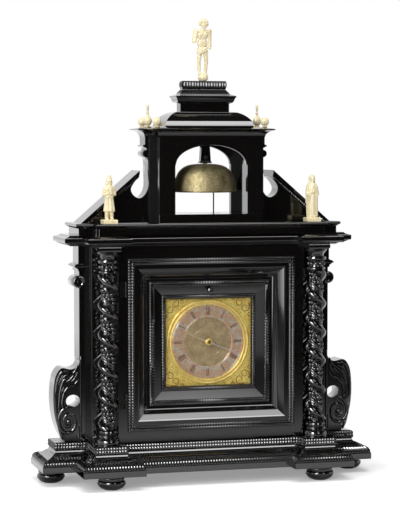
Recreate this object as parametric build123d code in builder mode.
from build123d import *
from math import cos, sin, radians, degrees, atan2, hypot, pi, sqrt
import os

os.makedirs("parts", exist_ok=True)

# Overall sizes, in millimetres: X to the right, Y to the back, Z up
base_half_width = 278.3     # wing slab, from the middle to its end
base_depth = 192.6          # front of the column plinths to the back
case_height = 317.0         # from the top of the base to under the main cornice

# Base plan
wing_front = -31.5
wing_back = 73.5
plinth_outer = 225.3
plinth_inner = 123.7
plinth_front = -base_depth / 2
middle_front = -72.0
rear_face = base_depth / 2
base_ledge = 26.0           # how far the top of the base stands inside its slab

# Heights of the layers, from the floor up
feet_height = 22.5
slab_thickness = 11.0
flare_height = 16.5
block_height = 18.0
main_cornice_height = 17.0
attic_block_height = 11.0
attic_cornice_height = 7.5
belfry_base_height = 14.0
belfry_wall_height = 124.5
belfry_cornice_height = 18.0
cushion_height = 23.5
neck_height = 12.5
cap_height = 16.0
figure_plinth_height = 21.5

slab_bottom = feet_height
slab_top = slab_bottom + slab_thickness
flare_top = slab_top + flare_height
base_top = flare_top + block_height
case_top_z = base_top + case_height
cornice_top = case_top_z + main_cornice_height
attic_block_top = cornice_top + attic_block_height
attic_top = attic_block_top + attic_cornice_height
belfry_floor = attic_top + belfry_base_height
belfry_wall_top = belfry_floor + belfry_wall_height
belfry_top = belfry_wall_top + belfry_cornice_height
cushion_top = belfry_top + cushion_height
neck_top = cushion_top + neck_height
cap_top = neck_top + cap_height
figure_seat = cap_top + figure_plinth_height

# Case
board = 12.0
case_half_width = 197.0
bay_face = -27.0            # front of the wall behind the columns
case_back_face = 68.0
back_board = 10.0
case_top_board = 10.0
breakfront_half = 156.0
breakfront_depth = 9.5

# Fits
running_fit = 0.05
turning_gap = 0.3
door_gap = 2.5
leaf_gap = 0.3

# Columns
column_x = 174.5
column_y = -46.0
strand_radius = 9.6
strand_offset = 6.6
strand_core = 6.8
twist_pitch = 47.5
column_base_height = 25.0
capital_height = 44.0
abacus_half = 18.4
left_lobe_angle = -12.6     # which way the strand bulges, at its marked height
left_lobe_height = 201.0    # above the base
right_lobe_angle = -19.0
right_lobe_height = 218.5

# Side consoles and their top blocks
wing_board_front = 1.0
wing_board_back = 41.0
console_strip = 14.6
console_reach = 57.3
console_hole_x = 25.0
console_hole_z = 65.5

# Entablature plans
cornice_wing_half = 241.0
cornice_wing_front = -31.5
cornice_wing_back = 66.0
cornice_outer = 212.5
cornice_inner = 140.5
cornice_front = -75.3
cornice_middle = -53.0
cornice_rear = 82.0
attic_wing_half = 222.7
attic_wing_front = -30.0
attic_wing_back = 60.0
attic_half = 194.2
attic_front = -52.0
attic_rear = 77.0
attic_lip = 5.5

# Belfry and roof
belfry_half = 87.5
belfry_front = -35.0
belfry_back = 71.0
belfry_board = 10.0
belfry_side_board = 17.0
arch_half = 60.5
arch_spring = 79.5          # above the belfry floor
arch_rise = 32.0
belfry_middle = (belfry_front + belfry_back) / 2
side_part_half = 101.5
side_part_front = 3.0
side_part_back = 39.0
belfry_overhang = 14.0
roof_half = 74.3
roof_half_depth = 43.5
neck_half = 41.3
neck_half_depth = 11.5

# Pediment
rake_low = 210.5
rake_high = 113.0
rake_rise = 84.5
rake_thickness = 8.5
rake_front = -9.0
rake_back = 49.0
keyhole_radius = 13.8
keyhole_x = 111.0
keyhole_z = 53.5            # above the attic

# Dial, hand and door
dial_centre = base_top + case_height / 2 - 1.5
dial_plate_half = 76.0
dial_plate_front = -11.0
dial_plate_thickness = 2.0
sight_half = 71.9
bezel_outer = 69.5
bezel_inner = 60.8
chapter_outer = 60.5
chapter_inner = 40.3
chapter_thickness = 1.2
disc_radius = 40.0
hand_reach = 56.0
tail_reach = 40.0
hand_angle = -22.0          # below the three o'clock direction
door_half = 140.3
door_half_height = 139.4
lip_overlap = 7.3
lip_thickness = 2.7
lip_front = bay_face - breakfront_depth - leaf_gap - lip_thickness
ripple_width = 10.3
ripple_height = 2.5
plug_back = -13.5
middle_ripple_at = 38.6     # from the door's edge
middle_ripple_width = 8.7
middle_ripple_depth = 15.5  # behind the lip
inner_ripple_width = 5.6
inner_ripple_depth = 22.0

# Movement
plate_half = 64.0
plate_low = 78.0            # below the dial's centre
plate_high = 84.0
plate_thickness = 2.5
front_plate_back = -1.5
back_plate_front = 46.0
shelf_thickness = 10.0
great_x = 30.0
great_drop = 40.0
great_teeth = 60
second_pinion_teeth = 10
wheel_module = 1.0
second_teeth = 48
third_pinion_teeth = 8
fine_module = 0.9
hour_teeth = 40
second_x = 40.0
third_x = 28.0
barrel_radius = 24.0
crown_radius = 16.0
crown_teeth = 15
verge_y = 24.5
balance_radius = 17.0
hammer_x = 14.7
hammer_y = 6.0
hammer_pivot_rise = 74.0

# Bell
bell_radius = 52.3
bell_height = 44.0
bell_wall = 2.5
bell_rim_rise = 37.0        # rim above the belfry floor

# Figures
figure_x = 170.3
figure_y = -38.0
figure_base = 24.0
spindle_radius = 2.0
crank_length = 14.0


def stepped_plan(wing, wing_y0, wing_y1, half, y0, y1, inset, notch_half=0, notch_y=0):
    """Corners of a plan with short wings and a deeper middle, moved in by inset."""
    w, h = wing - inset, half - inset
    f, b, wf, wb = y0 + inset, y1 - inset, wing_y0 + inset, wing_y1 - inset
    front = [(-h, f), (h, f)]
    if notch_half:
        n, ny = notch_half + inset, notch_y + inset
        front = [(-h, f), (-n, f), (-n, ny), (n, ny), (n, f), (h, f)]
    return ([(-w, wf), (-h, wf)] + front + [(h, wf), (w, wf), (w, wb), (h, wb)]
            + [(h, b), (-h, b), (-h, wb), (-w, wb)])


def moulded(plan, steps):
    """A moulded layer: plan(inset) at each height, joined by sloping mitred faces."""
    with BuildPart() as layer:
        for (inset_a, z_a), (inset_b, z_b) in zip(steps, steps[1:]):
            with BuildSketch(Plane.XY.offset(z_a)):
                with BuildLine():
                    Polyline(*plan(inset_a), close=True)
                make_face()
            with BuildSketch(Plane.XY.offset(z_b)):
                with BuildLine():
                    Polyline(*plan(inset_b), close=True)
                make_face()
            loft(ruled=True)
    return layer.part


def rectangle_plan(half, half_depth, middle):
    """A plan function for a plain rectangle."""
    def plan(inset):
        h, d = half - inset, half_depth - inset
        return [(-h, middle - d), (h, middle - d), (h, middle + d), (-h, middle + d)]
    return plan


def base_plan(inset):
    return stepped_plan(base_half_width, wing_front, wing_back, plinth_outer,
                        plinth_front, rear_face, inset, plinth_inner, middle_front)


def cornice_plan(inset):
    return stepped_plan(cornice_wing_half, cornice_wing_front, cornice_wing_back, cornice_outer,
                        cornice_front, cornice_rear, inset, cornice_inner, cornice_middle)


def attic_plan(inset):
    return stepped_plan(attic_wing_half, attic_wing_front, attic_wing_back, attic_half,
                        attic_front, attic_rear, inset)


def belfry_plan(inset):
    return stepped_plan(side_part_half, side_part_front, side_part_back, belfry_half,
                        belfry_front, belfry_back, inset)


def quarter_round(inset, z, run, rise, parts, hollow=False):
    """Steps along a quarter ellipse, bulging out or hollow."""
    steps = []
    for k in range(parts + 1):
        t = radians(90 * k / parts)
        if hollow:
            steps.append((inset + run * sin(t), z + rise * (1 - cos(t))))
        else:
            steps.append((inset + run * (1 - cos(t)), z + rise * sin(t)))
    return steps


def along_y(x, y, z):
    """Where a turned piece starts at y and runs towards the front."""
    return Location((x, y, z), (90, 0, 0))


def tooth_points(centre, teeth, module, phase, slim=0.40):
    """Corners of a simple wheel with flat-sided teeth, round its centre."""
    pitch_radius = teeth * module / 2
    step = 360 / teeth
    points = []
    for k in range(teeth):
        middle = phase + k * step
        for radius, turn in ((pitch_radius - 1.15 * module, -0.27 * step),
                             (pitch_radius, -slim / 2 * step),
                             (pitch_radius + 0.85 * module, -0.09 * step),
                             (pitch_radius + 0.85 * module, 0.09 * step),
                             (pitch_radius, slim / 2 * step),
                             (pitch_radius - 1.15 * module, 0.27 * step)):
            a = radians(middle + turn)
            points.append((centre[0] + radius * cos(a), centre[1] + radius * sin(a)))
    return points


def turned(points, centre, angle):
    """The points turned by an angle in degrees, then moved to the centre."""
    c, s = cos(radians(angle)), sin(radians(angle))
    return [(centre[0] + x * c - y * s, centre[1] + x * s + y * c) for x, y in points]


def mesh_phase(leader, leader_phase, leader_teeth, follower, follower_teeth):
    """The follower's phase that puts one of its gaps round a leader's tooth."""
    to_follower = degrees(atan2(follower[1] - leader[1], follower[0] - leader[0]))
    part = ((to_follower - leader_phase) / (360 / leader_teeth)) % 1
    return to_follower + 180 + (part + 0.5) * 360 / follower_teeth


# Feet: six turned buns under the slab
foot_radius = 23.0
foot_collar = 20.4
with BuildPart() as feet:
    with BuildSketch(Plane.XZ):
        with BuildLine():
            Line((0, 0), (foot_radius - 11, 0))
            Spline((foot_radius - 11, 0), (foot_radius - 3, feet_height * 0.17),
                   (foot_radius, feet_height * 0.42), (foot_collar, feet_height * 0.66))
            Line((foot_collar, feet_height * 0.66), (foot_collar, feet_height))
            Line((foot_collar, feet_height), (0, feet_height))
            Line((0, feet_height), (0, 0))
        make_face()
    revolve(axis=Axis.Z)
foot = feet.part
foot_margin = 28.0
wing_middle = (wing_front + wing_back) / 2
foot_spots = [(s * column_x, plinth_front + foot_margin, 0) for s in (-1, 1)]
foot_spots += [(s * column_x, rear_face - foot_margin, 0) for s in (-1, 1)]
foot_spots += [(s * (base_half_width - foot_radius), wing_middle, 0) for s in (-1, 1)]
with BuildPart() as feet:
    with Locations(*foot_spots):
        add(foot)

# Base: slab, rippled flare and top block, all following the broken plan
base_slab = moulded(base_plan, [(0, slab_bottom), (0, slab_top - 1), (1, slab_top)])
flare_steps = [(0.6, slab_top)] + quarter_round(0.6, slab_top + 1.5, 7.4, 7.0, 3)
flare_steps += [(13.0, flare_top - 5.8), (19.0, flare_top - 2.6), (22.5, flare_top)]
base_flare = moulded(base_plan, flare_steps)
top_steps = [(base_ledge - 2, flare_top), (base_ledge - 2, flare_top + 3.2)]
top_steps += [(base_ledge - 0.6, flare_top + 3.4), (base_ledge - 0.6, flare_top + 11.0)]
top_steps += [(base_ledge - 2.2, flare_top + 11.6), (base_ledge - 2.4, base_top - 2.0)]
top_steps += [(base_ledge - 0.4, base_top)]
base_block = moulded(base_plan, top_steps)

# Case: side boards, front wall, raised front panel, back frame, top board and shelf
opening_half = door_half - lip_overlap
opening_half_height = door_half_height - lip_overlap
side_height = case_height - case_top_board
inner_half = case_half_width - board
case_front_back = bay_face + board
case_back_inner = case_back_face - back_board
with BuildPart() as case_sides:
    with BuildSketch(Plane.XY.offset(base_top)):
        with Locations((case_half_width - board / 2, (case_front_back + case_back_inner) / 2)):
            Rectangle(board, case_back_inner - case_front_back)
    extrude(amount=side_height)
    mirror(about=Plane.YZ)

with BuildPart() as case_front:
    with BuildSketch(Plane.XZ.offset(-case_front_back)):
        with Locations((0, base_top + case_height / 2)):
            Rectangle(2 * case_half_width, case_height)
        with Locations((0, dial_centre)):
            Rectangle(2 * opening_half, 2 * opening_half_height, mode=Mode.SUBTRACT)
    extrude(amount=board)

with BuildPart() as case_breakfront:
    with BuildSketch(Plane.XZ.offset(-bay_face)):
        with Locations((0, base_top + case_height / 2)):
            Rectangle(2 * breakfront_half, case_height)
        with Locations((0, dial_centre)):
            Rectangle(2 * opening_half, 2 * opening_half_height, mode=Mode.SUBTRACT)
    extrude(amount=breakfront_depth)

rear_half = 95.0
rear_half_height = 118.0
with BuildPart() as case_back:
    with BuildSketch(Plane.XZ.offset(-case_back_face)):
        with Locations((0, base_top + case_height / 2)):
            Rectangle(2 * case_half_width, case_height)
        with Locations((0, dial_centre)):
            Rectangle(2 * rear_half, 2 * rear_half_height, mode=Mode.SUBTRACT)
    extrude(amount=back_board)

slot_length = 17.0
slot_width = 8.0
slot_x = hammer_x + 3.4
with BuildPart() as case_top:
    with BuildSketch(Plane.XY.offset(case_top_z - case_top_board)):
        with Locations((0, (case_front_back + case_back_inner) / 2)):
            Rectangle(2 * case_half_width, case_back_inner - case_front_back)
        with Locations((slot_x, hammer_y)):
            Rectangle(slot_length, slot_width, mode=Mode.SUBTRACT)
    extrude(amount=case_top_board)

plate_bottom = dial_centre - plate_low
plate_top = dial_centre + plate_high
shelf_front = dial_plate_front + dial_plate_thickness + 1
with BuildPart() as movement_shelf:
    with BuildSketch(Plane.XY.offset(plate_bottom - shelf_thickness)):
        with Locations((0, (shelf_front + case_back_inner) / 2)):
            Rectangle(2 * inner_half, case_back_inner - shelf_front)
    extrude(amount=shelf_thickness)

# Columns: one round strand and three thin ridges, twisted together, with turned ends
shaft_bottom = base_top + column_base_height
shaft_height = case_height - column_base_height - capital_height
ridge_radius = 8.4
with BuildSketch() as shaft_section:
    Circle(strand_core)
    with Locations((strand_offset, 0)):
        Circle(strand_radius)
    for angle, radius in ((128, 2.7), (176, 2.7), (222, 2.2)):
        with Locations((ridge_radius * cos(radians(angle)), ridge_radius * sin(radians(angle)))):
            Circle(radius)
turn = -360 * shaft_height / twist_pitch
with BuildPart() as column_shafts:
    for side, angle, height in ((-1, left_lobe_angle, left_lobe_height),
                                (1, right_lobe_angle, right_lobe_height)):
        start = angle + 360 * (height - column_base_height) / twist_pitch
        foot_face = Location((side * column_x, column_y, shaft_bottom), (0, 0, start))
        add(Solid.extrude_linear_with_rotation(
            (foot_face * shaft_section.sketch).face(), (side * column_x, column_y, shaft_bottom),
            (0, 0, shaft_height), turn))

with BuildPart() as column_ends:
    with Locations((column_x, column_y, base_top)):
        Cylinder(14, column_base_height, align=(Align.CENTER, Align.CENTER, Align.MIN))
    with Locations((column_x, column_y, base_top + 5.2)):
        Torus(13.6, 4.8)
    with Locations((column_x, column_y, base_top + 13.4)):
        Torus(13.2, 3.4)
    with Locations((column_x, column_y, base_top + 20.6)):
        Torus(12.8, 3.0)
    capital_z = case_top_z - capital_height
    with Locations((column_x, column_y, capital_z)):
        Cylinder(12.4, capital_height - 8, align=(Align.CENTER, Align.CENTER, Align.MIN))
    with Locations((column_x, column_y, capital_z + 3)):
        Torus(12.6, 2.6)
    with Locations((column_x, column_y, capital_z + 20)):
        Torus(13.4, 3.4)
    with Locations((column_x, column_y, capital_z + capital_height - 8)):
        Box(2 * abacus_half, 2 * abacus_half, 8, align=(Align.CENTER, Align.CENTER, Align.MIN))
    with Locations((column_x, column_y, capital_z + 24)):
        Cone(12.4, 17.4, 12, align=(Align.CENTER, Align.CENTER, Align.MIN))
    for k in range(10):
        a = radians(36 * k)
        with Locations((column_x + 12.6 * cos(a), column_y + 12.6 * sin(a), capital_z + 11.5)):
            Sphere(2.9)
    mirror(about=Plane.YZ)

# Side consoles: carved boards with a volute, a strip, a roll and a small cornice
strip_x = case_half_width + console_strip
reach_x = case_half_width + console_reach
wing_thickness = wing_board_back - wing_board_front
volute_x = case_half_width + 33.0
volute_z = base_top + 34.3
roll_z = case_top_z - 59.0
cap_z = case_top_z - 42.0
block_z = case_top_z - 29.0
with BuildPart() as consoles:
    with BuildSketch(Plane.XZ.offset(-wing_board_back)):
        with BuildLine():
            Line((case_half_width, base_top), (case_half_width + 39, base_top))
            Spline((case_half_width + 39, base_top), (reach_x - 6.5, base_top + 24),
                   (reach_x - 1.6, base_top + 46), (reach_x, base_top + 70),
                   (reach_x - 1.4, base_top + 94), (reach_x - 5.5, base_top + 110),
                   (reach_x - 15, base_top + 119.5), (reach_x - 27, base_top + 117.2),
                   (strip_x + 5.8, base_top + 119.4), (strip_x, base_top + 134))
            Line((strip_x, base_top + 134), (strip_x, cap_z))
            Line((strip_x, cap_z), (case_half_width, cap_z))
            Line((case_half_width, cap_z), (case_half_width, base_top))
        make_face()
        with Locations((strip_x, roll_z)):
            Circle(10)
        with Locations((case_half_width + console_hole_x, base_top + console_hole_z)):
            Ellipse(11.8, 10.2, mode=Mode.SUBTRACT)
    extrude(amount=wing_thickness)
    with BuildSketch(Plane.XZ.offset(-wing_board_back - 3)):
        with BuildLine():
            Polyline((case_half_width, cap_z), (strip_x + 1, cap_z), (strip_x + 2.5, cap_z + 4),
                     (strip_x + 8.4, cap_z + 7.6), (strip_x + 8.4, cap_z + 9.6),
                     (strip_x + 2, block_z), (case_half_width, block_z), close=True)
        make_face()
    extrude(amount=wing_thickness + 6)
    with BuildSketch(Plane.XZ.offset(-wing_board_back - 1.5)):
        with Locations(((case_half_width + strip_x + 1.4) / 2, (block_z + case_top_z) / 2)):
            Rectangle(strip_x + 1.4 - case_half_width, case_top_z - block_z)
    extrude(amount=wing_thickness + 3)
    for face_y, depth in ((wing_board_front, 2.2), (wing_board_back + 2.2, 2.2)):
        with BuildSketch(Plane.XZ.offset(-face_y)):
            spiral = []
            for edge in (0.0, 4.4):
                points = []
                for k in range(25):
                    t = k / 24
                    a = radians(115 - 600 * t)
                    r = (19.5 - 14.5 * t) - edge * (1 - 0.55 * t)
                    points.append((volute_x + 0.78 * r * cos(a), volute_z + 1.15 * r * sin(a)))
                spiral.append(points)
            with BuildLine():
                Spline(*spiral[0])
                Spline(*spiral[1])
                Line(spiral[0][0], spiral[1][0])
                Line(spiral[0][-1], spiral[1][-1])
            make_face()
            with Locations((volute_x, volute_z)):
                Circle(3.4)
        extrude(amount=depth)
    mirror(about=Plane.YZ)

# Main cornice, attic block and attic cornice
spindle_hole = spindle_radius + running_fit
channel_half = figure_x + 13
channel_front = figure_y - 4.5
channel_back = figure_y + crank_length + 7
cornice_steps = [(11, case_top_z), (9, case_top_z + 1.4), (4, case_top_z + 3.6)]
cornice_steps += [(0.8, case_top_z + 4.2), (0, case_top_z + 5), (0, case_top_z + 12.6)]
cornice_steps += [(1.2, case_top_z + 13.6), (8, case_top_z + 15.8), (10, cornice_top)]
with BuildPart() as main_cornice:
    add(moulded(cornice_plan, cornice_steps))
    with BuildSketch(Plane.XY.offset(case_top_z)):
        with Locations((slot_x, hammer_y)):
            Rectangle(slot_length, slot_width)
    extrude(amount=main_cornice_height, mode=Mode.SUBTRACT)

block_steps = [(attic_lip, cornice_top), (attic_lip, attic_block_top)]
with BuildPart() as attic_block:
    add(moulded(attic_plan, block_steps))
    with BuildSketch(Plane.XY.offset(cornice_top)):
        with Locations((0, (channel_front + channel_back) / 2)):
            Rectangle(2 * channel_half, channel_back - channel_front)
        with Locations((slot_x, hammer_y)):
            Rectangle(slot_length, slot_width)
    extrude(amount=attic_block_height, mode=Mode.SUBTRACT)

lip_steps = [(attic_lip - 0.4, attic_block_top), (2.6, attic_block_top + 2.2)]
lip_steps += [(0, attic_block_top + 3.6), (0, attic_top - 1.6), (1.6, attic_top)]
with BuildPart() as attic_cornice:
    add(moulded(attic_plan, lip_steps))
    with BuildSketch(Plane.XY.offset(attic_block_top)):
        with Locations((slot_x, hammer_y)):
            Rectangle(slot_length, slot_width)
        with Locations((-figure_x, figure_y), (figure_x, figure_y)):
            Circle(spindle_hole)
    extrude(amount=attic_cornice_height, mode=Mode.SUBTRACT)

# Broken pediment: two boards with keyhole cut-outs, and the raking cornices on them
rake_slope = atan2(rake_rise, rake_low - rake_high)
rake_drop = rake_thickness / cos(rake_slope)
rake_top = attic_top + rake_rise
under_low = rake_low - rake_thickness / sin(rake_slope)
bracket_x = belfry_half + 8.6
keyhole_height = attic_top + keyhole_z
bracket_roll_z = belfry_wall_top - 27
with BuildPart() as pediments:
    with BuildSketch(Plane.XZ.offset(-side_part_back)):
        with BuildLine():
            Line((belfry_half, attic_top), (under_low, attic_top))
            Line((under_low, attic_top), (rake_high, rake_top - rake_drop))
            Spline((rake_high, rake_top - rake_drop),
                   (keyhole_x + 8.5, keyhole_height + 11.5),
                   (keyhole_x + keyhole_radius, keyhole_height - 1),
                   (keyhole_x, keyhole_height - keyhole_radius),
                   (keyhole_x - keyhole_radius, keyhole_height),
                   (bracket_x, keyhole_height + 24),
                   (bracket_x, bracket_roll_z - 16), (bracket_x + 3, bracket_roll_z))
            Line((bracket_x + 3, bracket_roll_z), (bracket_x + 3, bracket_roll_z + 9))
            Line((bracket_x + 3, bracket_roll_z + 9), (bracket_x + 9, bracket_roll_z + 12))
            Line((bracket_x + 9, bracket_roll_z + 12), (bracket_x + 9, bracket_roll_z + 13.6))
            Line((bracket_x + 9, bracket_roll_z + 13.6), (side_part_half, bracket_roll_z + 15))
            Line((side_part_half, bracket_roll_z + 15), (side_part_half, belfry_wall_top))
            Line((side_part_half, belfry_wall_top), (belfry_half, belfry_wall_top))
            Line((belfry_half, belfry_wall_top), (belfry_half, attic_top))
        make_face()
        with Locations((bracket_x + 3, bracket_roll_z)):
            Circle(6)
    extrude(amount=side_part_back - side_part_front)
    with BuildSketch(Plane.XZ.offset(-side_part_back - 3)):
        with Locations((belfry_half + 9, attic_top + 4.2)):
            Rectangle(18, 8.4)
    extrude(amount=side_part_back - side_part_front + 6)
    mirror(about=Plane.YZ)

with BuildPart() as raking_cornices:
    for y_back, y_front, top, bottom in ((rake_back, rake_front, 0, 0.55),
                                         (rake_back - 5, rake_front + 5, 0.55, 1)):
        with BuildSketch(Plane.XZ.offset(-y_back)):
            with BuildLine():
                low_a = rake_low - top * rake_thickness / sin(rake_slope)
                low_b = rake_low - bottom * rake_thickness / sin(rake_slope)
                Polyline((low_a, attic_top), (rake_high, rake_top - top * rake_drop),
                         (rake_high, rake_top - bottom * rake_drop), (low_b, attic_top),
                         close=True)
            make_face()
        extrude(amount=y_back - y_front)
    mirror(about=Plane.YZ)

# Belfry: base, front and back arches, side walls and cornice
with BuildPart() as belfry_base:
    with BuildSketch(Plane.XY.offset(attic_top)):
        with Locations((0, belfry_middle)):
            Rectangle(2 * belfry_half, belfry_back - belfry_front)
        with Locations((slot_x, hammer_y)):
            Rectangle(slot_length, slot_width, mode=Mode.SUBTRACT)
    extrude(amount=belfry_base_height)

with BuildPart() as belfry_arches:
    for y_back in (belfry_front + belfry_board, belfry_back):
        with BuildSketch(Plane.XZ.offset(-y_back)):
            with Locations((0, belfry_floor + belfry_wall_height / 2)):
                Rectangle(2 * belfry_half, belfry_wall_height)
            with Locations((0, belfry_floor + arch_spring / 2)):
                Rectangle(2 * arch_half, arch_spring, mode=Mode.SUBTRACT)
            with Locations((0, belfry_floor + arch_spring)):
                Ellipse(arch_half - 1.2, arch_rise, mode=Mode.SUBTRACT)
        extrude(amount=belfry_board)

with BuildPart() as belfry_sides:
    with BuildSketch(Plane.XY.offset(belfry_floor)):
        with Locations((belfry_half - belfry_side_board / 2, belfry_middle)):
            Rectangle(belfry_side_board, belfry_back - belfry_front - 2 * belfry_board)
    extrude(amount=belfry_wall_height)
    mirror(about=Plane.YZ)

finial_peg = 2.4
ball_radius = 7.0
ball_x = belfry_half + 3.0
ball_inset = 3.0
spired_x = belfry_half + 5.5
ball_spots = [(s * ball_x, y) for s in (-1, 1)
              for y in (belfry_front + ball_inset, belfry_back - ball_inset)]
spired_spots = [(s * spired_x, (side_part_front + side_part_back) / 2 - 1.5) for s in (-1, 1)]
crown_steps = [(-0.6, belfry_wall_top), (-1.6, belfry_wall_top + 3.5)]
crown_steps += [(-5.6, belfry_wall_top + 7.6), (-11.5, belfry_wall_top + 10.6)]
crown_steps += [(-belfry_overhang, belfry_wall_top + 11.4)]
crown_steps += [(-belfry_overhang, belfry_wall_top + 12.6), (belfry_half - roof_half, belfry_top)]
with BuildPart() as belfry_cornice:
    add(moulded(belfry_plan, crown_steps))
    with BuildSketch(Plane.XY.offset(belfry_wall_top + 8)):
        with Locations(*ball_spots):
            Circle(finial_peg)
        with Locations(*spired_spots):
            Circle(finial_peg)
    extrude(amount=belfry_cornice_height, mode=Mode.SUBTRACT)

# Roof: cushion, neck with its cap, and the plinth of the top figure
cushion_steps = [(0, belfry_top), (2.6, belfry_top + 8.7)]
cushion_steps += quarter_round(2.6, belfry_top + 8.7, roof_half_depth - neck_half_depth - 2.6,
                               cushion_height - 8.7, 6)[1:]
roof_cushion = moulded(rectangle_plan(roof_half, roof_half_depth, belfry_middle), cushion_steps)

cap_steps = [(0, cushion_top), (0, neck_top), (-5.6, neck_top + 3.4), (-6.4, neck_top + 4.4)]
cap_steps += [(-7.6, neck_top + 8.6), (-9.7, neck_top + 11.6), (-9.7, neck_top + 12.8)]
cap_steps += [(-1.6, cap_top)]
peg_radius = 2.5
peg_length = 18.0
roof_neck = moulded(rectangle_plan(neck_half, neck_half_depth, belfry_middle), cap_steps)

foot_steps = [(-1.0, cap_top), (1.6, cap_top + 3.2), (4.2, cap_top + 6.4)]
foot_steps += [(4.4, cap_top + 8.4), (3.4, cap_top + 9.4), (3.4, figure_seat - 1.6)]
foot_steps += [(4.6, figure_seat)]
with BuildPart() as figure_plinth:
    add(moulded(rectangle_plan(neck_half, neck_half_depth, belfry_middle), foot_steps))
    with BuildSketch(Plane.XY.offset(figure_seat - peg_length)):
        with Locations((0, belfry_middle)):
            Circle(peg_radius + running_fit)
    extrude(amount=peg_length, mode=Mode.SUBTRACT)

# Ivory finials with their pegs
finial_seat = belfry_wall_top + 15.4
peg_foot = belfry_wall_top + 8
with BuildPart() as ball_finials:
    with Locations(*[(x, y, peg_foot) for x, y in ball_spots]):
        Cylinder(finial_peg, finial_seat - peg_foot + 3,
                 align=(Align.CENTER, Align.CENTER, Align.MIN))
    with Locations(*[(x, y, finial_seat + 2.8) for x, y in ball_spots]):
        Cylinder(3.6, 2.2)
    with Locations(*[(x, y, finial_seat + ball_radius + 3) for x, y in ball_spots]):
        Sphere(ball_radius)

spire_length = 24.0
with BuildPart() as spired_finials:
    for x, y in spired_spots:
        with Locations((x, y, peg_foot)):
            Cylinder(finial_peg, finial_seat - peg_foot + 3,
                     align=(Align.CENTER, Align.CENTER, Align.MIN))
        with Locations((x, y, finial_seat + 4.2)):
            Cylinder(3.8, 2.4)
        with Locations((x, y, finial_seat + ball_radius + 5)):
            Sphere(ball_radius)
        with Locations((x, y, finial_seat + ball_radius + 9)):
            Cone(5.4, 2.0, 7, align=(Align.CENTER, Align.CENTER, Align.MIN))
        with Locations((x, y, finial_seat + ball_radius + 15)):
            Cylinder(2.0, spire_length - 10, align=(Align.CENTER, Align.CENTER, Align.MIN))

# Bell with its stay and bolt
bell_rim = belfry_floor + bell_rim_rise
bell_top = bell_rim + bell_height
bell_y = hammer_y
post_height = 16.0
bell_curve = ((1.0, 0.0), (0.985, 0.1), (0.93, 0.4), (0.8, 0.72), (0.58, 0.92), (0.3, 0.985))
with BuildPart() as bell:
    with BuildSketch(Plane.XZ.offset(-bell_y)):
        with BuildLine():
            Spline(*[(bell_radius * r, bell_rim + bell_height * h) for r, h in bell_curve],
                   (0, bell_top), tangents=((-0.1, 1), (-1, 0)))
            Line((0, bell_top), (0, bell_top - bell_wall))
            Spline((0, bell_top - bell_wall),
                   *[((bell_radius - bell_wall) * r, bell_rim + (bell_height - bell_wall) * h)
                     for r, h in reversed(bell_curve)], tangents=((1, 0), (0.1, -1)))
            Line((bell_radius - bell_wall, bell_rim), (bell_radius, bell_rim))
        make_face()
    revolve(axis=Axis((0, bell_y, 0), (0, 0, 1)))
    with Locations((0, bell_y, bell_top - bell_wall)):
        Box(6, 6, post_height + bell_wall, align=(Align.CENTER, Align.CENTER, Align.MIN))
    with Locations(along_y(0, bell_y + 5, bell_top + 10.4)):
        Cylinder(1.5, 10, align=(Align.CENTER, Align.CENTER, Align.MIN), mode=Mode.SUBTRACT)

stay_gap = 1.0
stay_foot = bell_top + stay_gap
with BuildPart() as bell_stay:
    with BuildSketch(Plane.XY.offset(stay_foot)):
        with Locations((0, bell_y)):
            Rectangle(21, 12)
    with BuildSketch(Plane.XY.offset(stay_foot + 3.2)):
        with Locations((0, bell_y)):
            Rectangle(19, 11.4)
    loft(ruled=True)
    with BuildSketch(Plane.XY.offset(stay_foot + 3.2)):
        with Locations((0, bell_y)):
            Rectangle(17.4, 11)
    with BuildSketch(Plane.XY.offset(belfry_wall_top)):
        with Locations((0, bell_y)):
            Rectangle(12.6, 10)
    loft(ruled=True)
    with Locations((0, bell_y, stay_foot)):
        Box(6, 6, post_height, align=(Align.CENTER, Align.CENTER, Align.MIN),
            mode=Mode.SUBTRACT)
    with Locations(along_y(0, bell_y + 8, bell_top + 10.4)):
        Cylinder(1.5, 16, align=(Align.CENTER, Align.CENTER, Align.MIN), mode=Mode.SUBTRACT)

with BuildPart() as bell_bolt:
    with Locations(along_y(0, bell_y + 8, bell_top + 10.4)):
        Cylinder(1.5, 14, align=(Align.CENTER, Align.CENTER, Align.MIN))
    with Locations(along_y(0, bell_y - 5.6, bell_top + 10.4)):
        Cylinder(3.4, 2.6, align=(Align.CENTER, Align.CENTER, Align.MIN))
    fillet(bell_bolt.edges().group_by(Axis.Y)[0], 1.2)

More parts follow.
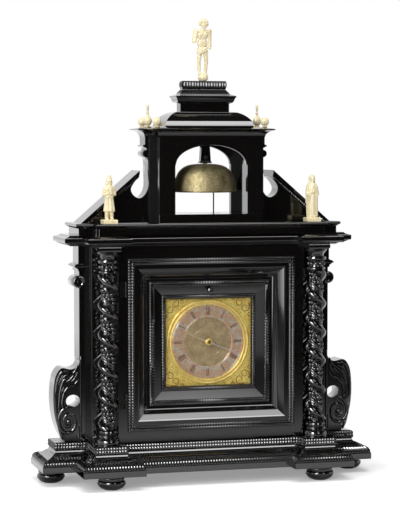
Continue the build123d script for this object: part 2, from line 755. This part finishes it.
# Figures: two standing on turning spindles, one on top on a peg
figure_lift = turning_gap
seat = attic_top + figure_lift
with BuildPart() as figure_left:
    with Locations((-figure_x, figure_y, seat)):
        Box(figure_base, figure_base, 7, align=(Align.CENTER, Align.CENTER, Align.MIN))
    for dx in (-3.8, 3.8):
        with Locations((-figure_x + dx, figure_y, seat + 7)):
            Cone(4.8, 3.6, 16, align=(Align.CENTER, Align.CENTER, Align.MIN))
    for z, rx, ry in ((20, 9.0, 7.8), (42, 6.8, 5.8), (58, 8.4, 5.6)):
        with BuildSketch(Plane.XY.offset(seat + z)):
            with Locations((-figure_x, figure_y)):
                Ellipse(rx, ry)
    loft()
    with Locations((-figure_x, figure_y, seat + 58)):
        Cone(6.6, 2.8, 4.4, align=(Align.CENTER, Align.CENTER, Align.MIN))
    for dx in (-8.6, 8.6):
        with Locations((-figure_x + dx, figure_y - 1, seat + 54)):
            Sphere(3.4)
        with Locations((-figure_x + dx, figure_y - 1, seat + 48)):
            Cylinder(3.0, 12)
    with Locations((-figure_x, figure_y - 7, seat + 49)):
        Sphere(4.4)
    with Locations((-figure_x, figure_y, seat + 65.6)):
        Sphere(4.7)
    with Locations((-figure_x, figure_y, seat + 68)):
        Cone(4.4, 1.4, 10, align=(Align.CENTER, Align.CENTER, Align.MIN))

with BuildPart() as figure_right:
    with Locations((figure_x, figure_y, seat)):
        Box(figure_base, figure_base, 7, align=(Align.CENTER, Align.CENTER, Align.MIN))
    for z, rx, ry in ((7, 8.2, 7.4), (24, 9.6, 8.2)):
        with BuildSketch(Plane.XY.offset(seat + z)):
            with Locations((figure_x, figure_y)):
                Ellipse(rx, ry)
    loft()
    for z, rx, ry in ((24, 9.6, 8.2), (48, 9.8, 7.2), (60, 8.2, 6.0), (66, 3.6, 3.6)):
        with BuildSketch(Plane.XY.offset(seat + z)):
            with Locations((figure_x, figure_y)):
                Ellipse(rx, ry)
    loft()
    with Locations((figure_x, figure_y, seat + 70.8)):
        Sphere(5.4)
    with Locations((figure_x - 8.4, figure_y - 2, seat + 47)):
        Cylinder(3.2, 18)
    with Locations((figure_x - 4, figure_y - 7.4, seat + 46)):
        Sphere(4.4)
    with Locations((figure_x + 8.2, figure_y - 1, seat + 47)):
        Cylinder(3.2, 18)

top_seat = figure_seat + figure_lift
with BuildPart() as figure_top:
    with Locations((0, belfry_middle, figure_seat - peg_length + 0.4)):
        Cylinder(peg_radius, peg_length + 4, align=(Align.CENTER, Align.CENTER, Align.MIN))
    with Locations((0, belfry_middle, top_seat)):
        Cone(6.4, 8.8, 4, align=(Align.CENTER, Align.CENTER, Align.MIN))
    with Locations((0, belfry_middle, top_seat + 4)):
        Sphere(8.8, arc_size1=0, align=(Align.CENTER, Align.CENTER, Align.MIN))
    for dx, foot, hip in ((-6.4, 3.0, 3.8), (5.2, 2.9, 3.7)):
        with Locations((dx, belfry_middle, top_seat + 7)):
            Cone(foot, hip, 44, align=(Align.CENTER, Align.CENTER, Align.MIN))
    for z, rx, ry in ((46, 9.0, 5.6), (58, 8.4, 5.2), (77, 9.8, 5.6), (85, 6.4, 4.6)):
        with BuildSketch(Plane.XY.offset(top_seat + z)):
            with Locations((-0.8, belfry_middle)):
                Ellipse(rx, ry)
    loft()
    for x, low, size in ((-12.8, 61, 3.4), (10.2, 53, 3.2)):
        with Locations((x, belfry_middle, top_seat + low)):
            Cylinder(size, 80 - low, align=(Align.CENTER, Align.CENTER, Align.MIN))
        with Locations((x, belfry_middle, top_seat + 80)):
            Sphere(size + 1)
    with Locations((0, belfry_middle, top_seat + 84)):
        Cylinder(3.8, 5, align=(Align.CENTER, Align.CENTER, Align.MIN))
    with Locations((1.0, belfry_middle, top_seat + 93.4)):
        Sphere(8.4)

# Spindles with cranks, and the rod that links them inside the attic
crank_z = cornice_top + 3.2
crank_pin = 1.2
link_z = crank_z + 2.4
pivot_slack = 0.35
cranks = []
for side in (-1, 1):
    with BuildPart() as crank:
        with Locations((side * figure_x, figure_y, cornice_top + 0.6)):
            Cylinder(spindle_radius, seat - cornice_top - 0.6,
                     align=(Align.CENTER, Align.CENTER, Align.MIN))
        with BuildSketch(Plane.XY.offset(crank_z)):
            with Locations((side * figure_x, figure_y + crank_length / 2)):
                Rectangle(4.4, crank_length)
            with Locations((side * figure_x, figure_y), (side * figure_x, figure_y + crank_length)):
                Circle(3)
        extrude(amount=2)
        with Locations((side * figure_x, figure_y + crank_length, crank_z)):
            Cylinder(crank_pin, 5.4, align=(Align.CENTER, Align.CENTER, Align.MIN))
    cranks.append(crank)
spindle_left, spindle_right = cranks

with BuildPart() as figure_link:
    with BuildSketch(Plane.XY.offset(link_z)):
        with Locations((0, figure_y + crank_length)):
            Rectangle(2 * figure_x, 4)
        with Locations((-figure_x, figure_y + crank_length), (figure_x, figure_y + crank_length)):
            Circle(3.2)
        with Locations((-figure_x, figure_y + crank_length)):
            Circle(crank_pin + running_fit, mode=Mode.SUBTRACT)
        with Locations((figure_x, figure_y + crank_length)):
            Circle(crank_pin + pivot_slack, mode=Mode.SUBTRACT)
    extrude(amount=2)

# Front door: a sunken moulded frame with three rippled strips
def door_rectangle(inset):
    return 2 * (door_half - inset), 2 * (door_half_height - inset)


middle_face = lip_front + middle_ripple_depth
inner_face = lip_front + inner_ripple_depth
sight_inset = door_half - sight_half
middle_end = middle_ripple_at + middle_ripple_width
inner_start = sight_inset - inner_ripple_width - 1.6
bevel_start = ripple_width + 8
bevel_end = middle_ripple_at - 5
bevel = [(bevel_start + (bevel_end - bevel_start) * k / 4,
          lip_front + 0.6 + (middle_ripple_depth - 1.6) * (1 - cos(radians(45 * k))) / 2)
         for k in range(5)]
sunken = [(ripple_width, lip_front), (bevel_start, lip_front + 0.6)] + bevel[1:]
sunken += [(middle_ripple_at, middle_face), (middle_end, middle_face + 1.2)]
sunken += [(inner_start, inner_face)]
with BuildPart() as door_frame:
    with BuildSketch(Plane.XZ.offset(-lip_front - lip_thickness)):
        with Locations((0, dial_centre)):
            Rectangle(*door_rectangle(0))
    extrude(amount=lip_thickness)
    with BuildSketch(Plane.XZ.offset(-plug_back)):
        with Locations((0, dial_centre)):
            Rectangle(*door_rectangle(lip_overlap + door_gap))
    extrude(amount=plug_back - lip_front - lip_thickness)
    for (inset_a, y_a), (inset_b, y_b) in zip(sunken, sunken[1:]):
        if y_b <= y_a:
            continue
        for inset, y in ((inset_a, y_a), (inset_b, y_b)):
            with BuildSketch(Plane.XZ.offset(-y)):
                with Locations((0, dial_centre)):
                    Rectangle(*door_rectangle(inset))
        loft(ruled=True, mode=Mode.SUBTRACT)
    with BuildSketch(Plane.XZ.offset(-plug_back)):
        with Locations((0, dial_centre)):
            Rectangle(*door_rectangle(sight_inset))
    extrude(amount=plug_back - lip_front, mode=Mode.SUBTRACT)
    knob_z = dial_centre + door_half_height - (middle_end + inner_start) / 2
    with Locations(along_y(0, plug_back, knob_z)):
        Cylinder(2 + running_fit, 20, align=(Align.CENTER, Align.CENTER, Align.MIN),
                 mode=Mode.SUBTRACT)

with BuildPart() as door_ripples:
    for inset, width, y in ((0, ripple_width, lip_front),
                            (middle_ripple_at, middle_ripple_width, middle_face),
                            (inner_start, inner_ripple_width, inner_face)):
        with BuildSketch(Plane.XZ.offset(-y)):
            with Locations((0, dial_centre)):
                Rectangle(*door_rectangle(inset))
                Rectangle(*door_rectangle(inset + width), mode=Mode.SUBTRACT)
        with BuildSketch(Plane.XZ.offset(-y + ripple_height)):
            with Locations((0, dial_centre)):
                Rectangle(*door_rectangle(inset + 0.22 * width))
                Rectangle(*door_rectangle(inset + 0.78 * width), mode=Mode.SUBTRACT)
        loft(ruled=True)

tongue_length = 60.0
with BuildPart() as door_knob:
    knob_face = inner_face - 0.2
    with Locations(along_y(0, plug_back + 3, knob_z)):
        Cylinder(2, plug_back + 3 - knob_face + 8, align=(Align.CENTER, Align.CENTER, Align.MIN))
    with Locations((0, knob_face - 9.5, knob_z)):
        Sphere(5.4)
    with BuildSketch(Plane.XZ.offset(-plug_back - 2.4)):
        with Locations((tongue_length / 2 - 4, knob_z)):
            Rectangle(tongue_length, 8)
    extrude(amount=2.1)

hinge_x = -door_half - 3.0
hinge_y = lip_front - 0.2
hinge_radius = 2.3
hinge_length = 24.0
hinge_spots = [dial_centre - 90, dial_centre + 90]
rear_hinge_x = rear_half + 1.5
rear_hinge_y = case_back_face + 2.6
with BuildPart() as hinge_plates:
    for z in hinge_spots:
        with Locations((hinge_x, hinge_y, z)):
            Cylinder(hinge_radius, hinge_length / 3 - 0.2)
        with Locations((hinge_x - hinge_radius - 3.9, bay_face - breakfront_depth - 0.4, z)):
            Box(7, 0.8, hinge_length)
        with Locations((hinge_x - 2.1, (hinge_y + bay_face - breakfront_depth) / 2, z)):
            Box(3.6, bay_face - breakfront_depth - hinge_y, hinge_length / 3 - 0.2)
        with Locations((rear_hinge_x, rear_hinge_y, z)):
            Cylinder(hinge_radius, hinge_length / 3 - 0.2)
        with Locations((rear_hinge_x + 7.5, case_back_face + 0.4, z)):
            Box(15, 0.8, hinge_length / 3 - 0.2)
    for z in hinge_spots:
        with Locations((hinge_x, hinge_y, z), (rear_hinge_x, rear_hinge_y, z)):
            Cylinder(1.0 + running_fit, hinge_length, mode=Mode.SUBTRACT)

with BuildPart() as door_hinges:
    for z in hinge_spots:
        for end in (-1, 1):
            with Locations((hinge_x, hinge_y, z + end * hinge_length / 3)):
                Cylinder(hinge_radius, hinge_length / 3 - 0.2)
            with Locations((-door_half - 0.4, lip_front + 1.2, z + end * hinge_length / 3)):
                Box(0.8, 2.2, hinge_length / 3 - 0.2)
            with Locations((-door_half - 0.9, lip_front + 0.4, z + end * hinge_length / 3)):
                Box(1.4, 1.4, hinge_length / 3 - 0.2)
        with Locations((hinge_x, hinge_y, z)):
            Cylinder(1.0, hinge_length)

# Rear door with its hinges and turn button
rear_gap = 0.6
with BuildPart() as rear_door:
    with BuildSketch(Plane.XZ.offset(-case_back_face)):
        with Locations((0, dial_centre)):
            Rectangle(2 * (rear_half - rear_gap), 2 * (rear_half_height - rear_gap))
    extrude(amount=8)
    with BuildSketch(Plane.XZ.offset(-case_back_face)):
        with Locations((0, dial_centre)):
            Rectangle(2 * (rear_half - 22), 2 * (rear_half_height - 22))
    extrude(amount=2.5, mode=Mode.SUBTRACT)

with BuildPart() as rear_hinges:
    for z in hinge_spots:
        for end in (-1, 1):
            with Locations((rear_hinge_x, rear_hinge_y, z + end * hinge_length / 3)):
                Cylinder(hinge_radius, hinge_length / 3 - 0.2)
            with Locations((rear_hinge_x - 8, case_back_face + 0.4, z + end * hinge_length / 3)):
                Box(15, 0.8, hinge_length / 3 - 0.2)
        with Locations((rear_hinge_x, rear_hinge_y, z)):
            Cylinder(1.0, hinge_length)

latch_x = -rear_half - 9
with BuildPart() as rear_latch:
    with BuildSketch(Plane.XZ.offset(-case_back_face - 2.7)):
        with Locations((latch_x, dial_centre)):
            SlotOverall(34, 9, rotation=90)
    extrude(amount=2.4)
    with Locations(along_y(latch_x, case_back_face + 4.2, dial_centre)):
        Cylinder(3, 2, align=(Align.CENTER, Align.CENTER, Align.MIN))

# Dial plate with its feet, gilt ring, chapter ring, centre disc and pins
plate_front_y = front_plate_back - plate_thickness
dial_face = dial_plate_front
arbor_radius = 2.5
with BuildPart() as dial_plate:
    with BuildSketch(Plane.XZ.offset(-dial_face - dial_plate_thickness)):
        with Locations((0, dial_centre)):
            Rectangle(2 * dial_plate_half, 2 * dial_plate_half)
            Circle(arbor_radius + 1, mode=Mode.SUBTRACT)
    extrude(amount=dial_plate_thickness)
    for sx in (-1, 1):
        for sz in (-1, 1):
            with Locations(along_y(sx * 55, plate_front_y, dial_centre + sz * 68)):
                Cylinder(3, plate_front_y - dial_face - dial_plate_thickness,
                         align=(Align.CENTER, Align.CENTER, Align.MIN))

with BuildPart() as dial_ring:
    with BuildSketch(Plane.XZ.offset(-dial_face)):
        with Locations((0, dial_centre)):
            Circle(bezel_outer)
            Circle(bezel_inner, mode=Mode.SUBTRACT)
    extrude(amount=1.2)
    for radius in (bezel_outer - 1.6, bezel_inner + 1.8):
        with Locations(Location((0, dial_face - 1.2, dial_centre), (90, 0, 0))):
            Torus(radius, 1.2)

chapter_face = dial_face - chapter_thickness
with BuildPart() as chapter_ring:
    with BuildSketch(Plane.XZ.offset(-dial_face)):
        with Locations((0, dial_centre)):
            Circle(chapter_outer)
            Circle(chapter_inner, mode=Mode.SUBTRACT)
    extrude(amount=chapter_thickness)
    for angle in (171.5, -3.8):
        a = radians(angle)
        with Locations((59 * cos(a), chapter_face, dial_centre + 59 * sin(a))):
            Sphere(1.15)

disc_gap = 0.15
with BuildPart() as centre_disc:
    with BuildSketch(Plane.XZ.offset(-dial_face + disc_gap)):
        with Locations((0, dial_centre)):
            Circle(disc_radius)
            Circle(arbor_radius + running_fit, mode=Mode.SUBTRACT)
    extrude(amount=1.0)

hour_centre = (0, dial_centre)
hub_radius = 5.6
hand_y = dial_face - 6.0
with BuildPart() as hour_hand:
    with BuildSketch(Plane.XZ.offset(-hand_y)):
        with BuildLine():
            upper = [(-tail_reach + 3, 1.1), (-8, 0.9), (-4, 2.4), (4, 2.4), (9, 1.5),
                     (30, 1.2), (hand_reach - 5, 1.0)]
            lower = [(a, -b) for a, b in reversed(upper)]
            outline = [(-tail_reach, 0)] + upper + [(hand_reach, 0)] + lower
            Polyline(*turned(outline, hour_centre, hand_angle), close=True)
        make_face()
    extrude(amount=1.2)
    with Locations(along_y(0, hand_y, dial_centre)):
        Cylinder(hub_radius, 3.4, align=(Align.CENTER, Align.CENTER, Align.MIN))
    with Locations(along_y(0, hand_y + 2.6, dial_centre)):
        Cylinder(3.6, 2.6, align=(Align.CENTER, Align.CENTER, Align.MIN))
    with Locations(along_y(0, hand_y + 4, dial_centre)):
        Cylinder(arbor_radius, 10, align=(Align.CENTER, Align.CENTER, Align.MIN),
                 mode=Mode.SUBTRACT)

# Movement: two plates, going train with crown wheel and balance, striking train with fly
great = {-1: (-great_x, dial_centre - great_drop), 1: (great_x, dial_centre - great_drop)}
great_radius = great_teeth * wheel_module / 2
second_rise = sqrt(((great_teeth + second_pinion_teeth) * wheel_module / 2) ** 2
                   - (second_x - great_x) ** 2)
second = {s: (s * second_x, dial_centre - great_drop + second_rise) for s in (-1, 1)}
third_rise = sqrt(((second_teeth + third_pinion_teeth) * fine_module / 2) ** 2
                  - (second_x - third_x) ** 2)
third = {s: (s * third_x, second[s][1] + third_rise) for s in (-1, 1)}
hour = (0, dial_centre)
great_phase = 0.0
end_shake = 0.3
pivot = 1.0
square = 4.0
hammer = (hammer_x, dial_centre + hammer_pivot_rise)


def wheel_phases(side):
    """Phases of the second arbor's pinion and wheel and of the third arbor's pinion."""
    pinion = mesh_phase(great[side], great_phase, great_teeth, second[side], second_pinion_teeth)
    wheel = pinion
    last = mesh_phase(second[side], wheel, second_teeth, third[side], third_pinion_teeth)
    return pinion, wheel, last


back_plate_back = back_plate_front + plate_thickness
with BuildPart() as plate_front:
    with BuildSketch(Plane.XZ.offset(-front_plate_back)):
        with Locations((0, (plate_bottom + plate_top) / 2)):
            Rectangle(2 * plate_half, plate_top - plate_bottom)
        with Locations(hour):
            Circle(arbor_radius + running_fit, mode=Mode.SUBTRACT)
        with Locations(great[-1], great[1], second[-1], second[1], third[-1], third[1], hammer):
            Circle(pivot + running_fit, mode=Mode.SUBTRACT)
    extrude(amount=plate_thickness)

third_y = third[-1][1]
with BuildPart() as plate_back:
    with BuildSketch(Plane.XZ.offset(-back_plate_back)):
        with Locations((0, (plate_bottom + plate_top) / 2)):
            Rectangle(2 * plate_half, plate_top - plate_bottom)
        with Locations(hour):
            Circle(arbor_radius + running_fit, mode=Mode.SUBTRACT)
        with Locations(great[-1], great[1]):
            Circle(square * 0.75 + running_fit, mode=Mode.SUBTRACT)
        with Locations(second[-1], second[1], third[1], hammer):
            Circle(pivot + running_fit, mode=Mode.SUBTRACT)
    extrude(amount=plate_thickness)
    for sx in (-1, 1):
        for z in (plate_bottom + 9, plate_top - 9):
            with Locations(along_y(sx * (plate_half - 7), back_plate_front, z)):
                Cylinder(4, back_plate_front - front_plate_back,
                         align=(Align.CENTER, Align.CENTER, Align.MIN))
    potence_x = third[-1][0]
    verge_foot = third_y - crown_radius - 10.6
    for z, front in ((third_y - crown_radius - 11.6, verge_y - 2.5),
                     (third_y + crown_radius + 6.4, verge_y - 3)):
        with Locations((potence_x, (front + back_plate_front) / 2, z + 1.7)):
            Box(5, back_plate_front - front, 3.4)
    with Locations((potence_x + 5, (verge_y - 3.4 + back_plate_front) / 2, third_y)):
        Box(3, back_plate_front - verge_y + 3.4, 6)
    with Locations((potence_x + 1.6, verge_y - 2.8, third_y)):
        Box(9.8, 1.2, 6)
    with Locations(along_y(third[-1][0], verge_y, third_y)):
        Cylinder(0.8 + running_fit, 6, align=(Align.CENTER, Align.CENTER, Align.MIN),
                 mode=Mode.SUBTRACT)
    with Locations((potence_x, verge_y, verge_foot - end_shake)):
        Cylinder(1.2 + running_fit, 80, align=(Align.CENTER, Align.CENTER, Align.MIN),
                 mode=Mode.SUBTRACT)

train = {}
for side, wheel_y, barrel_y, name in ((-1, 6.0, 26.0, "great_wheel"),
                                      (1, 37.0, 22.0, "strike_great_wheel")):
    x, z = great[side]
    with BuildPart() as arbor:
        with BuildSketch(Plane.XZ.offset(-wheel_y)):
            with BuildLine():
                Polyline(*tooth_points((x, z), great_teeth, wheel_module, great_phase),
                         close=True)
            make_face()
            with Locations((x, z)):
                Circle(great_radius - 5, mode=Mode.SUBTRACT)
                Rectangle(2 * great_radius - 8, 4.4)
                Rectangle(4.4, 2 * great_radius - 8)
                Circle(8)
        extrude(amount=3)
        with Locations(along_y(x, barrel_y, z)):
            Cylinder(barrel_radius, barrel_y - 12, align=(Align.CENTER, Align.CENTER, Align.MIN))
        with Locations(along_y(x, back_plate_front - end_shake, z)):
            Cylinder(4, back_plate_front - front_plate_back - 2 * end_shake,
                     align=(Align.CENTER, Align.CENTER, Align.MIN))
        with Locations(along_y(x, front_plate_back, z)):
            Cylinder(pivot, plate_thickness, align=(Align.CENTER, Align.CENTER, Align.MIN))
        with Locations(along_y(x, front_plate_back + end_shake, z)):
            Cylinder(pivot, end_shake, align=(Align.CENTER, Align.CENTER, Align.MIN))
        with Locations(along_y(x, back_plate_back + 0.6, z)):
            Cylinder(square * 0.75, plate_thickness + 0.6 + end_shake,
                     align=(Align.CENTER, Align.CENTER, Align.MIN))
        with Locations((x, back_plate_back + 4, z)):
            Box(square, 8, square)
    train[name] = arbor
great_wheel, strike_great_wheel = train["great_wheel"], train["strike_great_wheel"]

for side, pinion_y, wheel_y, name in ((-1, 6.5, 10.5, "second_wheel"),
                                      (1, 37.5, 30.5, "pin_wheel")):
    x, z = second[side]
    pinion_phase, wheel_phase = wheel_phases(side)[:2]
    with BuildPart() as arbor:
        with BuildSketch(Plane.XZ.offset(-pinion_y)):
            with BuildLine():
                Polyline(*tooth_points((x, z), second_pinion_teeth, wheel_module,
                                       pinion_phase, 0.36), close=True)
            make_face()
        extrude(amount=4)
        with BuildSketch(Plane.XZ.offset(-wheel_y)):
            with BuildLine():
                Polyline(*tooth_points((x, z), second_teeth, fine_module, wheel_phase),
                         close=True)
            make_face()
            with Locations((x, z)):
                Circle(second_teeth * fine_module / 2 - 4, mode=Mode.SUBTRACT)
                Rectangle(second_teeth * fine_module - 7, 3.2)
                Rectangle(3.2, second_teeth * fine_module - 7)
                Circle(4.6)
        extrude(amount=2.5)
        with Locations(along_y(x, back_plate_front - end_shake, z)):
            Cylinder(1.8, back_plate_front - front_plate_back - 2 * end_shake,
                     align=(Align.CENTER, Align.CENTER, Align.MIN))
        with Locations(along_y(x, back_plate_back, z)):
            Cylinder(pivot, back_plate_back - plate_front_y,
                     align=(Align.CENTER, Align.CENTER, Align.MIN))
        if side > 0:
            with Locations(along_y(x, wheel_y - 2.5, z)):
                with PolarLocations(19.4, 8, start_angle=22.5):
                    Cylinder(0.9, 5, align=(Align.CENTER, Align.CENTER, Align.MIN))
    train[name] = arbor
second_wheel, pin_wheel = train["second_wheel"], train["pin_wheel"]

crown_back = 21.0
with BuildPart() as crown_wheel:
    x, z = third[-1]
    with BuildSketch(Plane.XZ.offset(-11.2)):
        with BuildLine():
            Polyline(*tooth_points((x, z), third_pinion_teeth, fine_module,
                                   wheel_phases(-1)[2], 0.36), close=True)
        make_face()
    extrude(amount=3.4)
    with Locations(along_y(x, 14.5, z)):
        Cylinder(crown_radius, 1.5, align=(Align.CENTER, Align.CENTER, Align.MIN))
    with BuildSketch(Plane.XZ.offset(-crown_back)):
        with Locations((x, z)):
            Circle(crown_radius)
            Circle(crown_radius - 1.6, mode=Mode.SUBTRACT)
    extrude(amount=crown_back - 14.5)
    for k in range(crown_teeth):
        a = 360 * k / crown_teeth
        direction = (cos(radians(a)), 0, sin(radians(a)))
        across = (-sin(radians(a)), 0, cos(radians(a)))
        spot = (x + (crown_radius - 4) * direction[0], crown_back + 0.2,
                z + (crown_radius - 4) * direction[2])
        with BuildSketch(Plane(origin=spot, x_dir=across, z_dir=direction)):
            with BuildLine():
                half_step = pi * crown_radius / crown_teeth
                Polyline((-half_step + 0.5, 0), (half_step - 0.7, 0), (half_step - 0.7, 4.6),
                         close=True)
            make_face()
        extrude(amount=8, mode=Mode.SUBTRACT)
    with Locations(along_y(x, crown_back - 0.6, z)):
        Cylinder(1.6, crown_back - 0.6 - front_plate_back - end_shake,
                 align=(Align.CENTER, Align.CENTER, Align.MIN))
    with Locations(along_y(x, verge_y - 2.3, z)):
        Cylinder(0.8, 4, align=(Align.CENTER, Align.CENTER, Align.MIN))
    with Locations(along_y(x, front_plate_back + end_shake, z)):
        Cylinder(pivot, plate_thickness + end_shake,
                 align=(Align.CENTER, Align.CENTER, Align.MIN))

balance_z = third_y + crown_radius + 12.4
with BuildPart() as balance:
    with Locations((potence_x, verge_y, verge_foot)):
        Cylinder(1.2, balance_z + 4 - verge_foot,
                 align=(Align.CENTER, Align.CENTER, Align.MIN))
    for dz, turn_by in ((-crown_radius + 1, -45), (crown_radius - 1, 45)):
        with Locations(Location((potence_x, verge_y, third_y + dz), (0, 0, turn_by))):
            with Locations((0, -1.5, 0)):
                Box(1.2, 3, 4.4)
    with BuildSketch(Plane.XY.offset(balance_z)):
        with Locations((potence_x, verge_y)):
            Circle(balance_radius)
            Circle(balance_radius - 2.6, mode=Mode.SUBTRACT)
            Rectangle(2 * balance_radius - 4, 2.4)
            Circle(3.2)
    extrude(amount=2.4)

with BuildPart() as hour_wheel:
    with BuildSketch(Plane.XZ.offset(-6)):
        with BuildLine():
            phase = mesh_phase(great[-1], great_phase, great_teeth, hour, hour_teeth)
            Polyline(*tooth_points(hour, hour_teeth, wheel_module, phase), close=True)
        make_face()
        with Locations(hour):
            Circle(hour_teeth * wheel_module / 2 - 4.4, mode=Mode.SUBTRACT)
            Rectangle(hour_teeth * wheel_module - 8, 3.2)
            Rectangle(3.2, hour_teeth * wheel_module - 8)
            Circle(5)
    extrude(amount=3)
    with Locations(along_y(hour[0], back_plate_back, hour[1])):
        Cylinder(arbor_radius, back_plate_back - hand_y + 4,
                 align=(Align.CENTER, Align.CENTER, Align.MIN))

with BuildPart() as fly:
    x, z = third[1]
    with BuildSketch(Plane.XZ.offset(-31)):
        with BuildLine():
            Polyline(*tooth_points((x, z), third_pinion_teeth, fine_module,
                                   wheel_phases(1)[2], 0.36), close=True)
        make_face()
    extrude(amount=3.4)
    with Locations(along_y(x, back_plate_front - end_shake, z)):
        Cylinder(1.4, back_plate_front - front_plate_back - 2 * end_shake,
                 align=(Align.CENTER, Align.CENTER, Align.MIN))
    with Locations(along_y(x, back_plate_back, z)):
        Cylinder(pivot, back_plate_back - plate_front_y,
                 align=(Align.CENTER, Align.CENTER, Align.MIN))
    with Locations((x, 15, z)):
        Box(26, 14, 1)
        Cylinder(2.4, 14, rotation=(90, 0, 0))

# Bell hammer: arbor between the plates, tail by the pins, wire up into the bell
strike_z = bell_rim + 16.4
with BuildPart() as bell_hammer:
    with Locations(along_y(hammer[0], back_plate_front - end_shake, hammer[1])):
        Cylinder(2.2, back_plate_front - front_plate_back - 2 * end_shake,
                 align=(Align.CENTER, Align.CENTER, Align.MIN))
    with Locations(along_y(hammer[0], back_plate_back, hammer[1])):
        Cylinder(pivot, back_plate_back - plate_front_y,
                 align=(Align.CENTER, Align.CENTER, Align.MIN))
    with Locations((hammer[0], hammer_y, hammer[1])):
        Cylinder(1.1, strike_z - hammer[1], align=(Align.CENTER, Align.CENTER, Align.MIN))
    with Locations(Location((hammer[0] - 1, hammer_y, strike_z), (0, 90, 0))):
        Cylinder(1.6, 18, align=(Align.CENTER, Align.CENTER, Align.MIN))
    with Locations(Location((hammer[0] + 12, hammer_y, strike_z), (0, 90, 0))):
        Cylinder(4, 9, align=(Align.CENTER, Align.CENTER, Align.MIN))
    tail_end = (second[1][0] - 4, second[1][1] + 22.6)
    tail_turn = degrees(atan2(tail_end[1] - hammer[1], tail_end[0] - hammer[0]))
    tail_length = hypot(tail_end[0] - hammer[0], tail_end[1] - hammer[1])
    with BuildSketch(Plane.XZ.offset(-27)):
        with Locations(Location((hammer[0], hammer[1], 0), (0, 0, tail_turn))):
            with Locations((tail_length / 2, 0)):
                SlotCenterToCenter(tail_length, 3)
    extrude(amount=2)

pieces = {
    "feet": feet.part, "base_slab": base_slab, "base_flare": base_flare,
    "base_block": base_block, "case_sides": case_sides.part, "case_front": case_front.part,
    "case_breakfront": case_breakfront.part, "case_back": case_back.part,
    "case_top": case_top.part, "movement_shelf": movement_shelf.part,
    "column_shafts": column_shafts.part, "column_ends": column_ends.part,
    "consoles": consoles.part, "main_cornice": main_cornice.part,
    "attic_block": attic_block.part, "attic_cornice": attic_cornice.part,
    "pediments": pediments.part, "raking_cornices": raking_cornices.part,
    "belfry_base": belfry_base.part, "belfry_arches": belfry_arches.part,
    "belfry_sides": belfry_sides.part, "belfry_cornice": belfry_cornice.part,
    "roof_cushion": roof_cushion, "roof_neck": roof_neck, "figure_plinth": figure_plinth.part,
    "ball_finials": ball_finials.part, "spired_finials": spired_finials.part,
    "bell": bell.part, "bell_stay": bell_stay.part, "bell_bolt": bell_bolt.part,
    "figure_left": figure_left.part, "figure_right": figure_right.part,
    "figure_top": figure_top.part, "spindle_left": spindle_left.part,
    "spindle_right": spindle_right.part, "figure_link": figure_link.part,
    "door_frame": door_frame.part, "door_ripples": door_ripples.part,
    "door_knob": door_knob.part, "door_hinges": door_hinges.part,
    "hinge_plates": hinge_plates.part, "rear_door": rear_door.part,
    "rear_hinges": rear_hinges.part, "rear_latch": rear_latch.part,
    "dial_plate": dial_plate.part, "dial_ring": dial_ring.part,
    "chapter_ring": chapter_ring.part, "centre_disc": centre_disc.part,
    "hour_hand": hour_hand.part, "plate_front": plate_front.part,
    "plate_back": plate_back.part, "great_wheel": great_wheel.part,
    "strike_great_wheel": strike_great_wheel.part, "second_wheel": second_wheel.part,
    "pin_wheel": pin_wheel.part, "crown_wheel": crown_wheel.part, "balance": balance.part,
    "hour_wheel": hour_wheel.part, "fly": fly.part, "bell_hammer": bell_hammer.part,
}
for name, piece in pieces.items():
    piece.label = name
    export_step(piece, f"parts/{name}.step")
